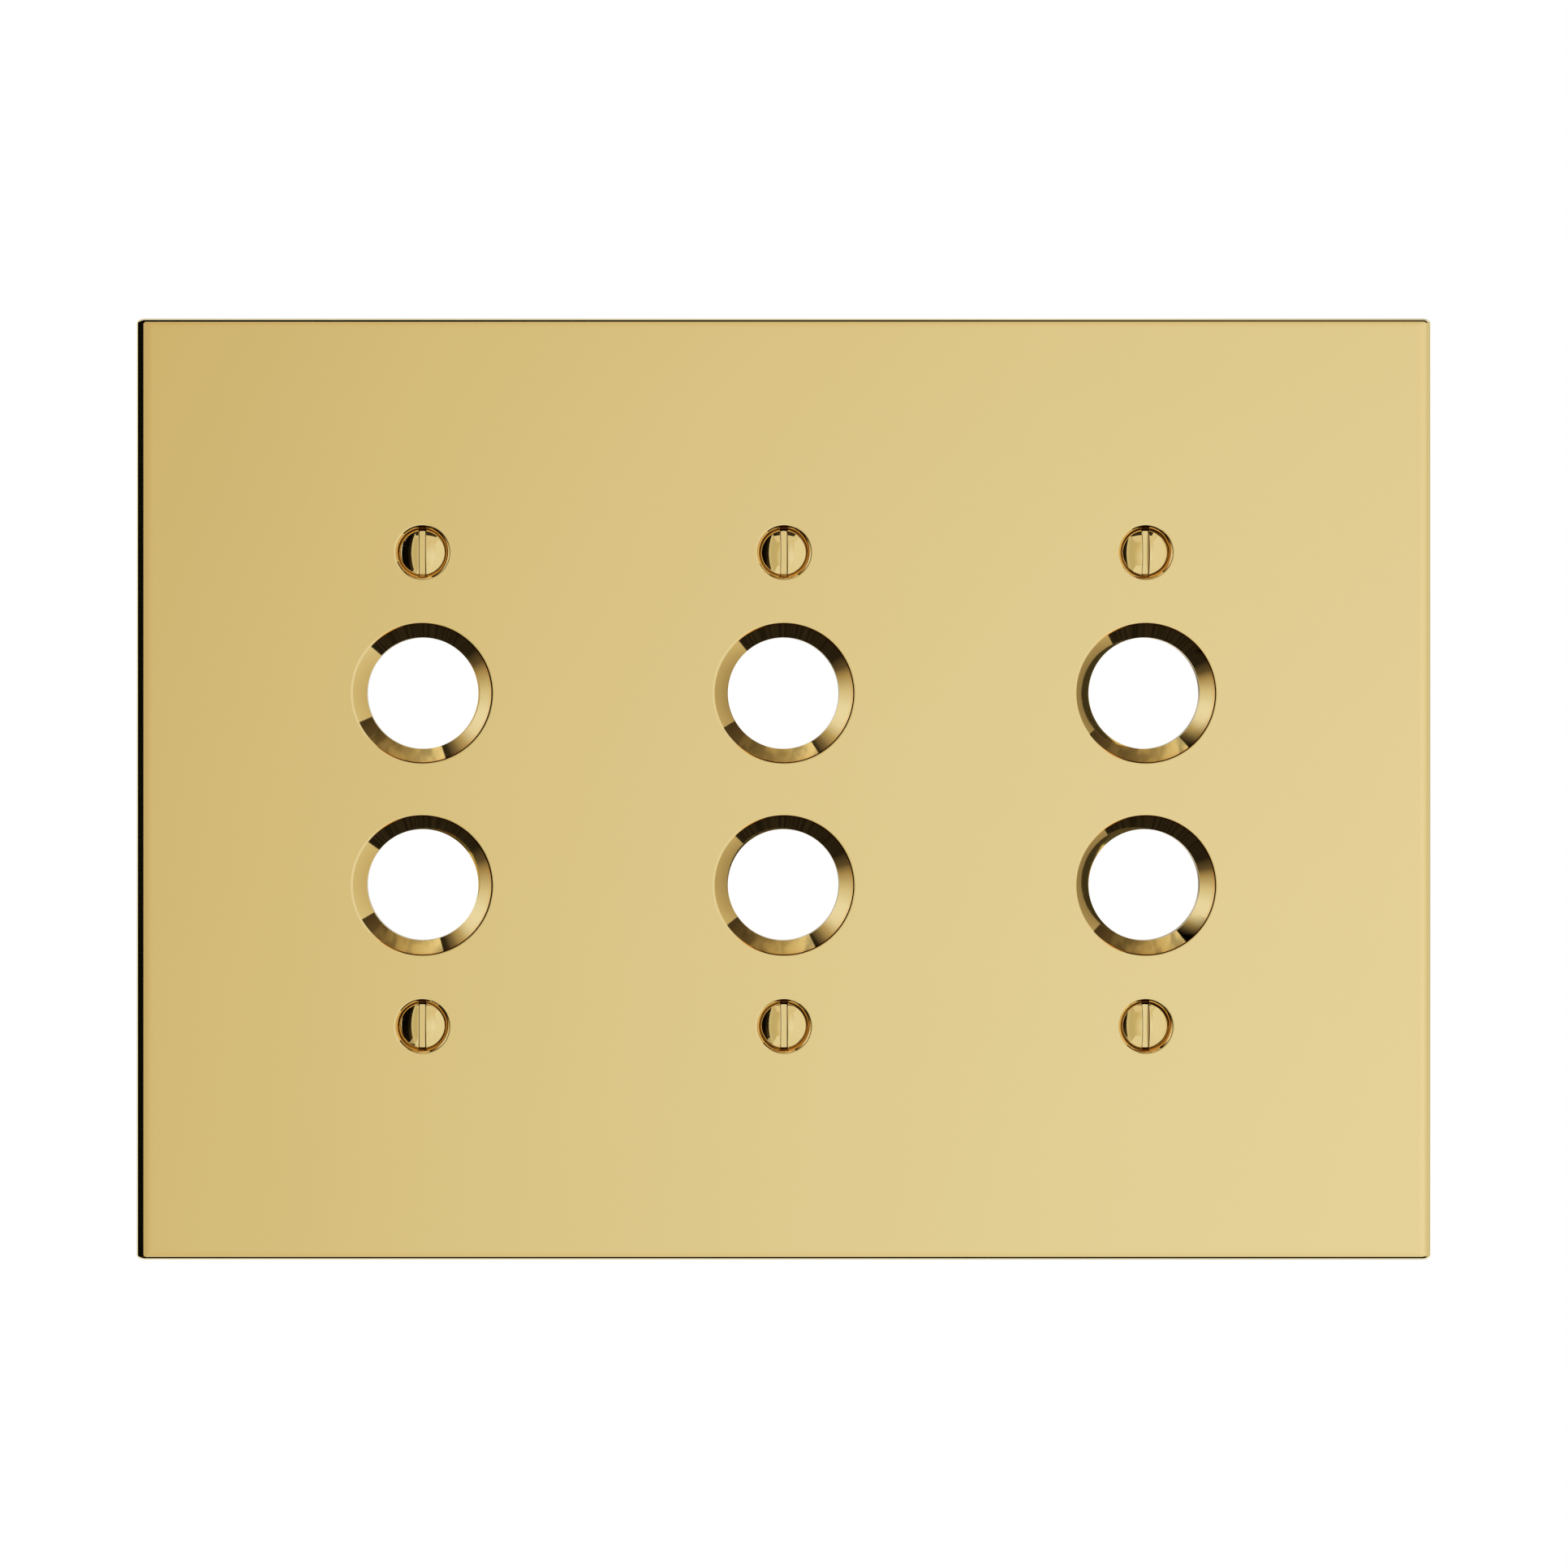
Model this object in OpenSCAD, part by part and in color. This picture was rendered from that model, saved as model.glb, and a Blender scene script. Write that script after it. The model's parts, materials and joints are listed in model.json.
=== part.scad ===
// Three-gang push-button switch plate: a solid rectangular wall plate with
// two countersunk button holes per gang, and six slotted oval-head screws.
//
// Each piece is laid out on its back: X across, Y up the wall, Z out of the
// wall with the wall at z = 0. stand_up() then turns it so that the finished
// part has +Z up and its front towards -Y, with the origin at the centre of
// the back face.

/* [Plate] */
// Width of the plate, left to right
plate_w = 165; // [150:0.5:190]
// Height of the plate, bottom to top
plate_h = 120; // [110:0.5:140]
// Thickness of the plate
plate_t = 3.175; // [3:0.025:5]
// Radius of the rounded front edges and of the corners
edge_r = 1.1; // [0.6:0.1:1.5]

/* [Gangs] */
// Distance between neighbouring gangs (1-13/16 in)
gang_pitch = 46.04; // [44:0.01:48]
// Distance between the upper and lower screw of a gang (2-3/8 in)
screw_spacing = 60.325; // [58:0.005:64]
// Distance between the upper and lower button hole of a gang
button_spacing = 24.46; // [20:0.02:28]

/* [Button holes] */
// Diameter of the straight hole that the button passes through
button_d = 14.2; // [12:0.1:15]
// Diameter of the lip where it meets the face
lip_d = 17.9; // [17:0.1:19]
// Slope of the conical lip, measured from the face
lip_angle = 41; // [35:0.5:45]
// Radius of the rounded brim of the lip
brim_r = 0.5; // [0.5:0.1:0.8]

/* [Screw holes] */
// Diameter of the countersink where it meets the face
sink_d = 7; // [6.6:0.1:8]
// Included angle of the countersink and of the screw head
sink_angle = 82; // [80:1:90]
// Diameter of the clearance hole behind the countersink
clear_d = 4; // [3.8:0.1:4.4]

/* [Screws] */
// Outside diameter of the 6-32 thread
thread_d = 3.505; // [3.4:0.005:3.6]
// Diameter of the plain neck between the head and the thread
neck_d = 3; // [2.8:0.05:3.3]
// Gap between the back of the plate and the start of the thread
thread_gap = 0.4; // [0.3:0.05:1]
// Length of the screw from the rim of its head to its tip (5/8 in)
screw_len = 15.875; // [12.7:0.005:25.4]
// Diameter of the head at its rim
head_d = 5.94; // [5.8:0.02:6.2]
// Radial gap between the head and the countersink
seat_gap = 0.03; // [0.02:0.01:0.08]
// Height of the oval top above its rim
dome_h = 0.82; // [0.6:0.02:1]
// Width of the screwdriver slot
slot_w = 1; // [0.8:0.05:1.2]
// Depth of the slot below the top of the head
slot_depth = 1.12; // [0.8:0.02:1.2]
// Chamfer at the tip of the screw
tip_chamfer = 0.5; // [0.2:0.1:0.8]

/* [Hidden] */
$fn = 96;

// Cutters run this far past the faces that they cut.
overrun = 1;
left = -1;
middle = 0;
right = 1;
top = 1;
bottom = -1;
brass = [0.86, 0.75, 0.50];
screw_brass = [0.82, 0.68, 0.40];

// Radius lost per millimetre of depth on the countersink's cone
sink_slope = tan(sink_angle / 2);
sink_depth = (sink_d - clear_d) / 2 / sink_slope;

// Heights of the screw, along z: the rim of the head is where the
// countersink is wider than the head by the seat gap.
rim_z = plate_t - (sink_d / 2 - head_d / 2 - seat_gap) / sink_slope;
neck_z = rim_z - (head_d - neck_d) / 2 / sink_slope;
thread_z = -thread_gap;
tip_z = rim_z - screw_len;
crown_z = rim_z + dome_h;
// Radius of the sphere through the rim and the crown of the oval top
dome_r = (pow(head_d / 2, 2) + pow(dome_h, 2)) / (2 * dome_h);

// Turns a piece laid out on its back so that it stands on the wall.
module stand_up() {
    rotate([90, 0, 0]) children();
}

// Places children at every gang and row, with the two rows this far apart.
module at_each_gang(row_spacing) {
    for (column = [left, middle, right])
        for (row = [top, bottom])
            translate([column * gang_pitch, row * row_spacing / 2, 0])
                children();
}

// Outline of the plate with its corners rounded by arcs.
module plate_outline() {
    inner_w = plate_w - 2 * edge_r;
    inner_h = plate_h - 2 * edge_r;
    square([plate_w, inner_h], center = true);
    square([inner_w, plate_h], center = true);
    for (x = [left, right])
        for (y = [top, bottom])
            translate([x * inner_w / 2, y * inner_h / 2])
                circle(r = edge_r);
}

// Section of the plate across one direction: square at the back, rounded
// at the front. x runs across the plate and y out of the wall.
module edge_section(width) {
    inner = width - 2 * edge_r;
    translate([-width / 2, 0])
        square([width, plate_t - edge_r]);
    translate([-inner / 2, 0])
        square([inner, plate_t]);
    for (x = [left, right])
        translate([x * inner / 2, plate_t - edge_r])
            circle(r = edge_r);
}

// The solid plate before it is drilled: its outline, with the sections in
// both directions rounding all four front edges.
module plate_blank() {
    intersection() {
        linear_extrude(height = plate_t)
            plate_outline();
        rotate([90, 0, 0])
            linear_extrude(height = plate_h + 2 * overrun, center = true)
                edge_section(plate_w);
        rotate([90, 0, 90])
            linear_extrude(height = plate_w + 2 * overrun, center = true)
                edge_section(plate_h);
    }
}

// Cuts one button hole: a straight hole, a conical lip and a rounded brim
// that runs smoothly from the cone into the face.
module button_hole() {
    hole_r = button_d / 2;
    brim_x = lip_d / 2;
    brim_z = plate_t - brim_r;
    // The cone starts where the brim's circle reaches the cone's slope.
    tangent_x = brim_x - brim_r * sin(lip_angle);
    tangent_z = brim_z + brim_r * cos(lip_angle);
    cone_z = tangent_z - (tangent_x - hole_r) * tan(lip_angle);
    rotate_extrude()
        difference() {
            polygon([
                [0, -overrun],
                [hole_r, -overrun],
                [hole_r, cone_z],
                [tangent_x, tangent_z],
                [brim_x, brim_z],
                [brim_x, plate_t + overrun],
                [0, plate_t + overrun],
            ]);
            translate([brim_x, brim_z])
                circle(r = brim_r);
        }
}

// Cuts one screw hole: a clearance hole and an 82 degree countersink.
module screw_hole() {
    clear_r = clear_d / 2;
    sink_z = plate_t - sink_depth;
    past_face = sink_d / 2 + overrun * sink_slope;
    translate([0, 0, -overrun])
        cylinder(h = sink_z + 2 * overrun, r = clear_r);
    translate([0, 0, sink_z])
        cylinder(h = sink_depth + overrun, r1 = clear_r, r2 = past_face);
}

module plate() {
    color(brass)
        stand_up()
            difference() {
                plate_blank();
                at_each_gang(button_spacing) button_hole();
                at_each_gang(screw_spacing) screw_hole();
            }
}

// Half-section of a screw about its axis: chamfered tip, shank at the
// thread's outside diameter, plain neck, countersunk cone and oval top.
module screw_section() {
    thread_r = thread_d / 2;
    neck_r = neck_d / 2;
    head_r = head_d / 2;
    polygon([
        [0, tip_z],
        [thread_r - tip_chamfer, tip_z],
        [thread_r, tip_z + tip_chamfer],
        [thread_r, thread_z],
        [neck_r, thread_z],
        [neck_r, neck_z],
        [head_r, rim_z],
        [0, rim_z],
    ]);
    intersection() {
        translate([0, crown_z - dome_r])
            circle(r = dome_r, $fn = 360);
        translate([0, rim_z])
            square([head_r, dome_h]);
    }
}

// One slotted oval-head screw, driven home with its slot upright.
module screw(column, row) {
    color(screw_brass)
        stand_up()
            translate([column * gang_pitch, row * screw_spacing / 2, 0])
                difference() {
                    rotate_extrude() screw_section();
                    translate([0, 0, crown_z - slot_depth + overrun])
                        cube([slot_w, head_d + overrun, 2 * overrun], center = true);
                }
}

plate();
screw(left, top);  // screw_top_left
screw(middle, top);  // screw_top_middle
screw(right, top);  // screw_top_right
screw(left, bottom);  // screw_bottom_left
screw(middle, bottom);  // screw_bottom_middle
screw(right, bottom);  // screw_bottom_right
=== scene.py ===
"""Looks of the three-gang push-button switch plate: polished brass plate and screws.

The plate and the six screws are built here as fine closed meshes with exact
normals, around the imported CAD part. Axes as in the part: +Z up, front -Y,
back face in y = 0. Lengths in metres, unless a comment says millimetres.
"""

import json
import math

import bpy
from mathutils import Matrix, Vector
from mathutils.geometry import delaunay_2d_cdt


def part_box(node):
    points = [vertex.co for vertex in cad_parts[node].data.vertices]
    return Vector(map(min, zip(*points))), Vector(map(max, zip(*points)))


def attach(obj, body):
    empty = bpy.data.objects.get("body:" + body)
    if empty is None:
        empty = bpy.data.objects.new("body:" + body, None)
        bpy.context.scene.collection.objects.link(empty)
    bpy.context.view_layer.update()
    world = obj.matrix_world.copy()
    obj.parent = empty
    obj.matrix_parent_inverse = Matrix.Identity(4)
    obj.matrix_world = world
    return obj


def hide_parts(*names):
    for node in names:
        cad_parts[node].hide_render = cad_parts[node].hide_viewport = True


MM = 0.001
TAU = 2 * math.pi

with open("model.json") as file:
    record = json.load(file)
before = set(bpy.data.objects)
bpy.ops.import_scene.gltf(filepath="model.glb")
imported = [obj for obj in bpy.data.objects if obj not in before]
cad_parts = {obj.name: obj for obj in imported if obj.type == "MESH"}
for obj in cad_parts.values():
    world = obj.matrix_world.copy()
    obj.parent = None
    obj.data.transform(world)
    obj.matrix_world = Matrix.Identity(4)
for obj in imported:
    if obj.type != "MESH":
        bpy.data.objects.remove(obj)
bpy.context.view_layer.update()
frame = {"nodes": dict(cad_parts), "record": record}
record = frame["record"]

# ---------------------------------------------------------------- dimensions
PLATE_LO, PLATE_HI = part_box("plate")
FACE_Y = PLATE_LO.y
BACK_Y = PLATE_HI.y
HALF_W = (PLATE_HI.x - PLATE_LO.x) / 2
HALF_H = (PLATE_HI.z - PLATE_LO.z) / 2

EDGE_R = 1.1 * MM
EDGE_FLATTEN = 0.55  # the top and bottom edges are rounded over this share of the width
BUFF_W = 1.2 * MM  # how far the buffing softens the face inside the edge
BUFFED = EDGE_R + BUFF_W
BUFF_DROP = 0.18 * MM  # how much metal the buffing takes at the outline
BACK_BREAK = 0.12 * MM  # how far the sharp edges at the back are broken

LIP_R = 9.12 * MM
LIP_ANGLE = math.radians(40)
LIP_END_ANGLE = math.radians(41.6)  # the polishing hollows the cone very slightly
LIP_BRIM_R = 0.5 * MM
BORE_EASE = 0.06 * MM  # rounding of the edge between lip and bore

SINK_R = 3.64 * MM  # where its rounded brim meets the face
SINK_BRIM_R = 0.35 * MM
SINK_TILT = math.radians(41)
# Wall of the worn countersink: radius in millimetres, slope in degrees, painted shade
WORN_WALL = ((3.29, 41, 0.3), (3.17, 47, 0.5), (3.06, 56, 0.85), (3.0, 62, 1.95))
SEAT_R = WORN_WALL[-1][0] * MM  # just outside the rim of the head
LEAST_STEP = 0.02 * MM
CLEAR_R = 2.0 * MM

CONE_TILT = math.radians(90 - 41)  # half of the 82 degree seat, measured from the face
HEAD_EDGE_R = 0.05 * MM
HEAD_EDGE_INSET = 1.15  # the rim's fillet sits this many of its radii inside the head
DOME_RISE = 0.82 * MM
SLOT_W = 0.74 * MM
SLOT_DEPTH = 1.12 * MM
SLOT_EASE = 0.18 * MM  # rounding of the slot's upper edges
SLOT_MOUTH = SLOT_W / 2 + SLOT_EASE

NECK_R = 1.5 * MM
NECK_GAP = 0.4 * MM  # from the back of the plate to the start of the thread
THREAD_PITCH = 25.4 / 32 * MM
THREAD_FADE = 0.55 * MM  # the thread grows out of the neck over this length
ROOT_R = 1.27 * MM
TIP_CHAMFER = 0.5 * MM

# Finish of a face: 0 polished .. 1 left as it came off the machine
BORE_FINISH = 0.6
SHANK_FINISH = 0.8
MACHINED = 1.0

# Painted shade of a face, standing in for inter-reflections in grooves: 0 none .. 1 orange painted
# reflection .. 2 dark painted shade
DARK_SHADE = 2.0
EDGE_TINT = 0.08  # deepest on this row of the edge, counted from the back
EDGE_TINT_ROW = 30
EDGE_TINT_ROWS = 8  # it fades out over so many rows to each side
BRIM_TINT = (1.9, 2.0, 2.0, 2.0, 0.3, 0.1)  # from the brim's middle row inwards
PATCH_TINT = 1.9
PATCH_SHARE = 0.026  # of the turn, to each side of the top
SEAT_TINT = 0.25
HEAD_TINT = 1.0
SLOT_LIP_TINT = 1.75
SLOT_WALL_TINT = 1.7

HOLES = [m for m in record["mounts"] if m["name"].startswith("button_hole_")]
SCREWS = [n for n in frame["nodes"] if n.startswith("screw_")]
THREAD_R = next(m["dims"]["r_mm"] for m in record["mounts"] if m["name"] == "middle_screw_top") * MM


# --------------------------------------------------------------- mesh builder
class Shell:
    """Collects faces whose corners are (point, normal) and makes one closed mesh."""

    CELL = 0.5e-6  # points closer than this are one

    def __init__(self):
        self.index = {}
        self.points = []
        self.faces = []
        self.normals = []
        self.machined = []
        self.painted_shade = []
        # What the next faces get
        self.finish = 0.0
        # Painted shade that the next faces get: orange painted reflection up to 1, dark painted shade up to
        # 2
        self.shade_paint = 0.0

    def vertex(self, point):
        key = tuple(round(c / self.CELL) for c in point)
        if key not in self.index:
            self.index[key] = len(self.points)
            self.points.append(tuple(point))
        return self.index[key]

    def face(self, corners):
        """One polygon. Repeated points are dropped and the winding follows the normals."""
        ring = []
        for point, normal in corners:
            v = self.vertex(point)
            if all(v != other for other, _ in ring):
                ring.append((v, Vector(normal)))
        if len(ring) < 3:
            return
        area = Vector()
        first = Vector(self.points[ring[0][0]])
        for (a, _), (b, _) in zip(ring[1:], ring[2:]):
            area += (Vector(self.points[a]) - first).cross(Vector(self.points[b]) - first)
        if sum((n.dot(area) for _, n in ring), 0.0) < 0:
            ring.reverse()
            area = -area
        flat = area.normalized()
        self.faces.append([v for v, _ in ring])
        self.machined.append(self.finish)
        self.painted_shade.append(self.shade_paint)
        self.normals.append([n.normalized() if n.length > 1e-9 else flat for _, n in ring])

    def strip(self, ring_a, ring_b):
        """Quads between two closed rings of (point, normal) of equal length."""
        count = len(ring_a)
        for i in range(count):
            j = (i + 1) % count
            self.face([ring_a[i], ring_a[j], ring_b[j], ring_b[i]])

    def open_edges(self):
        """Edges that don't join exactly two faces."""
        uses = {}
        for face in self.faces:
            for a, b in zip(face, face[1:] + face[:1]):
                uses[(a, b)] = uses.get((a, b), 0) + 1
        return [e for e, n in uses.items() if n != 1 or uses.get(e[::-1]) != 1]

    def make(self, name, material):
        mesh = bpy.data.meshes.new(name)
        mesh.from_pydata(self.points, [], self.faces)
        mesh.shade_smooth()
        mesh.normals_split_custom_set([n for corners in self.normals for n in corners])
        for attribute, values in (("machined", self.machined), ("painted_shade", self.painted_shade)):
            mesh.attributes.new(attribute, "FLOAT", "FACE").data.foreach_set("value", values)
        mesh.materials.append(material)
        obj = bpy.data.objects.new(name, mesh)
        bpy.context.scene.collection.objects.link(obj)
        gaps = self.open_edges()
        if gaps:
            print(f"WARNING: {name} has {len(gaps)} open edges")
        return obj


def turned(cx, cz, r, y, nr, ny, count):
    """Ring of (point, normal) about an axis along Y through (cx, cz)."""
    ring = []
    for i in range(count):
        c, s = math.cos(TAU * i / count), math.sin(TAU * i / count)
        ring.append(((cx + r * c, y, cz + r * s), (nr * c, ny, nr * s)))
    return ring


def lathe(shell, cx, cz, sections, count):
    """Sweeps runs of rows (r, y, normal r, normal y) round an axis along Y."""
    for run in sections:
        rings = [turned(cx, cz, *row, count) for row in run]
        for a, b in zip(rings, rings[1:]):
            shell.strip(a, b)


def tinted_lathe(shell, cx, cz, rows, depths, tint, count):
    """Sweeps rows; tint(depth, turn) is the tarnish after this share of a turn from +X."""
    for a, b, depth in zip(rows, rows[1:], depths):
        outer, inner = turned(cx, cz, *a, count), turned(cx, cz, *b, count)
        for i in range(count):
            j = (i + 1) % count
            shell.shade_paint = tint(depth, (i + 0.5) / count)
            shell.face([outer[i], outer[j], inner[j], inner[i]])
    shell.shade_paint = 0.0


# ----------------------------------------------------------------- the plate
CORNER_STEPS = 14
WALL_STEPS = 4
EDGE_STEPS = 22
BUFF_STEPS = 12


def outline_ring(inset, y, slope_in, slope_out):
    """Rounded rectangle this far inside the outline, with normals.

    It is drawn stretched upwards by 1 / EDGE_FLATTEN and then flattened. At a
    corner the slope is shared out over how fast the ring moves inwards there.
    """
    shrink = EDGE_R / BUFFED
    rho = EDGE_R - shrink * inset
    half_h = HALF_H / EDGE_FLATTEN
    ring = []
    for quarter, (sx, sz) in enumerate(((1, 1), (-1, 1), (-1, -1), (1, -1))):
        cx = sx * (HALF_W - inset - rho)
        cz = sz * (half_h - inset - rho)
        for i in range(CORNER_STEPS + 1):
            a = (quarter + i / CORNER_STEPS) * math.pi / 2
            ux, uz = math.cos(a), math.sin(a)
            speed = (1 - shrink) * (abs(ux) + abs(uz)) + shrink
            s = slope_in / speed
            point = (cx + rho * ux, y, (cz + rho * uz) * EDGE_FLATTEN)
            ring.append((point, (ux * s, -slope_out, uz * s / EDGE_FLATTEN)))
    return ring


def buffing(inset):
    """(drop, slope) of the softened face at this inset."""
    left = max(0.0, 1 - inset / BUFFED)
    return BUFF_DROP * left**3, 3 * BUFF_DROP / BUFFED * left**2


def build_edge(shell):
    """Back edge, side walls, rounded front edge and buffed margin.

    Returns the innermost ring on the face and the ring on the back.
    """
    wall_back = BACK_Y - BACK_BREAK
    wall_front = FACE_Y + EDGE_R + BUFF_DROP
    back_ring = outline_ring(BACK_BREAK, BACK_Y, 1, -1)
    shell.strip(back_ring, outline_ring(0, wall_back, 1, -1))
    rings = []
    for i in range(WALL_STEPS + 1):
        rings.append(outline_ring(0, wall_back + (wall_front - wall_back) * i / WALL_STEPS, 1, 0))
    for i in range(1, EDGE_STEPS + 1):
        theta = i / EDGE_STEPS * math.pi / 2
        inset = EDGE_R * (1 - math.cos(theta))
        drop, slope = buffing(inset)
        y = FACE_Y + EDGE_R * (1 - math.sin(theta)) + drop
        slope_in = math.cos(theta) + math.sin(theta) * slope
        rings.append(outline_ring(inset, y, slope_in, math.sin(theta)))
    for i in range(1, BUFF_STEPS + 1):
        inset = EDGE_R + BUFF_W * i / BUFF_STEPS
        drop, slope = buffing(inset)
        rings.append(outline_ring(inset, FACE_Y + drop, slope, 1))
    for row, (a, b) in enumerate(zip(rings, rings[1:])):
        # Faint orange painted reflection along the end of the rounded edge and the buffed margin
        shell.shade_paint = EDGE_TINT * max(0.0, 1 - abs(row - EDGE_TINT_ROW) / EDGE_TINT_ROWS)
        shell.strip(a, b)
    shell.shade_paint = 0.0
    return rings[-1], back_ring


def fill_face(shell, loops, normal):
    """Triangles between an outer loop and the hole loops, all in one plane of constant y."""
    points, edges, owner = [], [], []
    for number, loop in enumerate(loops):
        unique = []
        for p in loop:
            if not unique or (Vector(p) - Vector(unique[-1])).length > 1e-7:
                unique.append(p)
        if (Vector(unique[0]) - Vector(unique[-1])).length <= 1e-7:
            unique.pop()
        start = len(points)
        count = len(unique)
        points.extend(unique)
        owner.extend([number] * count)
        edges.extend((start + i, start + (i + 1) % count) for i in range(count))
    # The triangulator works in single precision, so it gets millimetres.
    flat = [Vector((p[0] / MM, p[2] / MM)) for p in points]
    _, _, faces, origin, _, _ = delaunay_2d_cdt(flat, edges, [], 0, 1e-5)
    for face in faces:
        corners = [origin[v][0] for v in face]
        # A triangle with all its corners on one hole's loop lies in that hole.
        if len({owner[v] for v in corners}) == 1 and owner[corners[0]] > 0:
            continue
        shell.face([(points[v], normal) for v in corners])


def rounded_rows(centre_r, centre_y, radius, start, end, steps):
    """Rows round a convex edge inside a hole, with the normal tilting from start to end."""
    rows = []
    for i in range(steps + 1):
        tilt = start + (end - start) * i / steps
        s, c = math.sin(tilt), math.cos(tilt)
        rows.append((centre_r - radius * s, centre_y - radius * c, -s, -c))
    return rows


def build_bore(shell, cx, cz, r, start_y, finish, count):
    """Straight bore from start_y with a broken edge at the back. Returns its loop there."""
    end_y = BACK_Y - BACK_BREAK
    bore = [(r, start_y, -1, 0), (r, end_y, -1, 0)]
    broken = [(r, end_y, -1, 1), (r + BACK_BREAK, BACK_Y, -1, 1)]
    shell.finish = finish
    lathe(shell, cx, cz, [bore, broken], count)
    shell.finish = 0.0
    return [p for p, _ in turned(cx, cz, *broken[-1], count)]


def brim_tint(depth, turn):
    """The brim gets painted shade and orange painted reflection, except on its left side."""
    share = (math.cos(TAU * turn) + 0.75) / 0.5
    return depth * min(1.0, max(0.0, share))


def build_button_hole(shell, cx, cz, hole_r):
    """One button hole. Returns its loops on the front and on the back."""
    count = 240
    brim_steps, cone_steps, ease_steps = 8, 10, 4
    rows = rounded_rows(LIP_R, FACE_Y + LIP_BRIM_R, LIP_BRIM_R, 0, LIP_ANGLE, brim_steps)
    # The cone's slope grows from step to step.
    start_r = rows[-1][0]
    end_r = hole_r + BORE_EASE * (1 - math.sin(LIP_END_ANGLE))
    turn = (LIP_END_ANGLE - LIP_ANGLE) / cone_steps
    for i in range(1, cone_steps + 1):
        tilt = LIP_ANGLE + turn * i
        last_r, last_y = rows[-1][:2]
        r = start_r + (end_r - start_r) * i / cone_steps
        y = last_y + (last_r - r) * math.tan(tilt - turn / 2)
        rows.append((r, y, -math.sin(tilt), -math.cos(tilt)))
    centre_r = end_r + BORE_EASE * math.sin(LIP_END_ANGLE)
    centre_y = rows[-1][1] + BORE_EASE * math.cos(LIP_END_ANGLE)
    ease = rounded_rows(centre_r, centre_y, BORE_EASE, LIP_END_ANGLE, math.pi / 2, ease_steps)

    dark = brim_steps // 2
    light = dark + len(BRIM_TINT)
    lathe(shell, cx, cz, [rows[: dark + 1]], count)
    # The brim's middle rows get painted shade and orange painted reflection.
    tinted_lathe(shell, cx, cz, rows[dark : light + 1], BRIM_TINT, brim_tint, count)
    lathe(shell, cx, cz, [rows[light:], ease], count)
    back = build_bore(shell, cx, cz, *ease[-1][:2], BORE_FINISH, count)
    return [p for p, _ in turned(cx, cz, *rows[0], count)], back


def groove_tint(depth, turn):
    """Painted shade in the groove at the head, and a patch of dark painted shade above the screw's slot."""
    return PATCH_TINT if abs(turn - 0.25) < PATCH_SHARE else depth


def seat_tint(depth, turn):
    """Dark painted shade on the seat's upper half; its lower half gets a faint orange painted reflection.
    """
    return depth if turn < 0.5 else SEAT_TINT


def build_screw_hole(shell, cx, cz, seat_y):
    """Worn countersink and clearance hole. Returns its loops on the front and on the back.

    Below a rounded brim the wall slopes like the lips down to the rim of the
    screw's head, where a step at seat_y leads into the 82 degree seat.
    """
    count = 128
    brim = rounded_rows(SINK_R, FACE_Y + SINK_BRIM_R, SINK_BRIM_R, 0, SINK_TILT, 10)
    wall = [brim[-1]]
    for r, degrees, _ in WORN_WALL:
        last_r, last_y = wall[-1][:2]
        tilt = math.radians(degrees)
        y = last_y + (last_r - r * MM) * math.tan(tilt)
        wall.append((r * MM, y, -math.sin(tilt), -math.cos(tilt)))
    step_y = max(seat_y, wall[-1][1] + LEAST_STEP)
    step = [(SEAT_R, wall[-1][1], -1, 0), (SEAT_R, step_y, -1, 0)]
    normal = (-math.sin(CONE_TILT), -math.cos(CONE_TILT))
    seat_end = step_y + (SEAT_R - CLEAR_R) * math.tan(CONE_TILT)
    seat = [(SEAT_R, step_y, *normal), (CLEAR_R, seat_end, *normal)]

    lathe(shell, cx, cz, [brim], count)
    # Orange painted reflection down the countersink wall, dark painted shade at its foot and in a patch
    # above the slot.
    tinted_lathe(shell, cx, cz, wall, [row[2] for row in WORN_WALL], groove_tint, count)
    # Dark painted shade on the step into the seat, and on the seat's upper half.
    shell.shade_paint = DARK_SHADE
    lathe(shell, cx, cz, [step], count)
    tinted_lathe(shell, cx, cz, seat, [DARK_SHADE], seat_tint, count)
    back = build_bore(shell, cx, cz, CLEAR_R, seat_end, MACHINED, count)
    return [p for p, _ in turned(cx, cz, *brim[0], count)], back


def build_plate(material):
    shell = Shell()
    front_ring, back_ring = build_edge(shell)
    fronts, backs = [[p for p, _ in front_ring]], [[p for p, _ in back_ring]]
    for hole in HOLES:
        x, _, z = hole["pos_m"]
        front, back = build_button_hole(shell, x, z, hole["dims"]["r_mm"] * MM)
        fronts.append(front)
        backs.append(back)
    for node in SCREWS:
        lo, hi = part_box(node)
        front, back = build_screw_hole(shell, (lo.x + hi.x) / 2, (lo.z + hi.z) / 2, lo.y + DOME_RISE)
        fronts.append(front)
        backs.append(back)
    fill_face(shell, fronts, (0, -1, 0))
    shell.finish = MACHINED
    fill_face(shell, backs, (0, 1, 0))
    return shell.make("switch_plate", material)


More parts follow.
